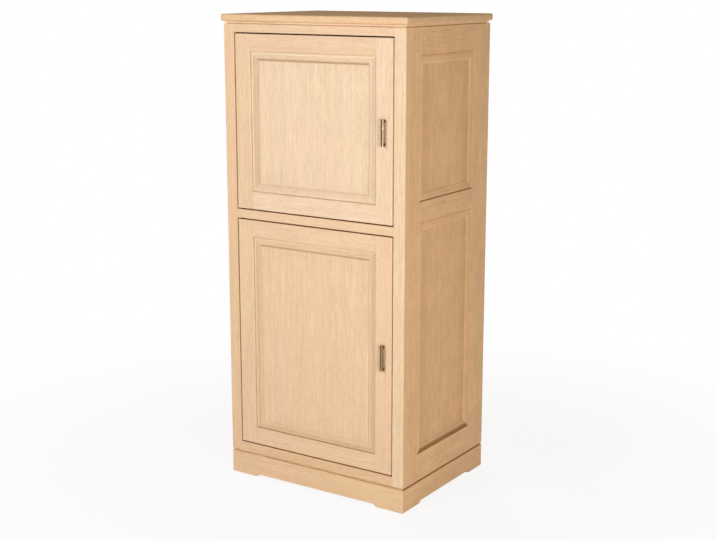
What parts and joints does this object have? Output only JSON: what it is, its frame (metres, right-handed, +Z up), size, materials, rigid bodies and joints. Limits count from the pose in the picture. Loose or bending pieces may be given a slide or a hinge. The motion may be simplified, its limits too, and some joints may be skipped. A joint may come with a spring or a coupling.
{
  "type": "highboard cabinet",
  "caption": "Tall narrow pale-oak cabinet with stacked inset panelled doors, bar handles, panelled sides, a slim overhanging top and a plinth with bracket feet.",
  "frame": {"origin": "on the floor, under the middle of the whole piece with its doors shut", "axes": "+Z up, +Y from the doors towards the back, +X to the right as seen from the front"},
  "size_m": [0.635, 0.483, 1.4],
  "materials": {
    "oak_stiles": "pale oak, fine straight grain, satin lacquer",
    "oak_rails": "pale oak, grain along the rail, satin lacquer",
    "oak_panels": "pale oak veneer, upright grain, satin lacquer",
    "oak_mouldings": "pale oak moulding, stain darker in its hollows, satin",
    "oak_top": "pale oak board, grain along its length, satin lacquer",
    "carcass_wood": "plain pale oak inside the case, thin matt lacquer",
    "back_plywood": "raw plywood back, matt",
    "handle_bronze": "aged brass, brushed, worn brighter on its edges",
    "pivot_steel": "zinc-plated steel, satin",
    "bush_brass": "turned brass",
    "glide_nylon": "off-white nylon",
    "catch_plastic": "tan plastic"
  },
  "bodies": {
    "cabinet": {"front_stile_left": "oak_stiles", "front_stile_right": "oak_stiles", "left_front_stile": "oak_stiles", "left_rear_stile": "oak_stiles", "right_front_stile": "oak_stiles", "right_rear_stile": "oak_stiles", "front_top_rail": "oak_rails", "front_mid_rail": "oak_rails", "front_bottom_rail": "oak_rails", "left_bottom_rail": "oak_rails", "left_mid_rail": "oak_rails", "left_top_rail": "oak_rails", "right_bottom_rail": "oak_rails", "right_mid_rail": "oak_rails", "right_top_rail": "oak_rails", "plinth_front": "oak_rails", "plinth_left": "oak_rails", "plinth_right": "oak_rails", "left_lower_panel": "oak_panels", "left_upper_panel": "oak_panels", "right_lower_panel": "oak_panels", "right_upper_panel": "oak_panels", "left_mouldings": "oak_mouldings", "right_mouldings": "oak_mouldings", "neck_moulding": "oak_mouldings", "top_board": "oak_top", "plinth_back": "carcass_wood", "plinth_corner_blocks": "carcass_wood", "back_top_rail": "carcass_wood", "back_bottom_rail": "carcass_wood", "bottom_board": "carcass_wood", "divider_board": "carcass_wood", "upper_shelf": "carcass_wood", "lower_shelf": "carcass_wood", "back_panel": "back_plywood", "shelf_pins": "pivot_steel", "pivot_bushes": "bush_brass", "floor_glides": "glide_nylon", "door_catches": "catch_plastic"},
    "upper_door": {"upper_door_hinge_stile": "oak_stiles", "upper_door_lock_stile": "oak_stiles", "upper_door_bottom_rail": "oak_rails", "upper_door_top_rail": "oak_rails", "upper_door_panel": "oak_panels", "upper_door_moulding": "oak_mouldings", "upper_door_pivot_pins": "pivot_steel", "upper_handle_bar": "handle_bronze", "upper_handle_posts": "handle_bronze", "upper_strike_plate": "pivot_steel"},
    "lower_door": {"lower_door_hinge_stile": "oak_stiles", "lower_door_lock_stile": "oak_stiles", "lower_door_bottom_rail": "oak_rails", "lower_door_top_rail": "oak_rails", "lower_door_panel": "oak_panels", "lower_door_moulding": "oak_mouldings", "lower_door_pivot_pins": "pivot_steel", "lower_handle_bar": "handle_bronze", "lower_handle_posts": "handle_bronze", "lower_strike_plate": "pivot_steel"}
  },
  "joints": [
    {"name": "upper_door_hinge", "type": "hinge", "parent": "cabinet", "child": "upper_door", "pos_m": [-0.253, -0.2215, 1.091], "axis": [0, 0, -1], "range_deg": [0, 110]},
    {"name": "lower_door_hinge", "type": "hinge", "parent": "cabinet", "child": "lower_door", "pos_m": [-0.253, -0.2215, 0.4565], "axis": [0, 0, -1], "range_deg": [0, 110]}
  ]
}
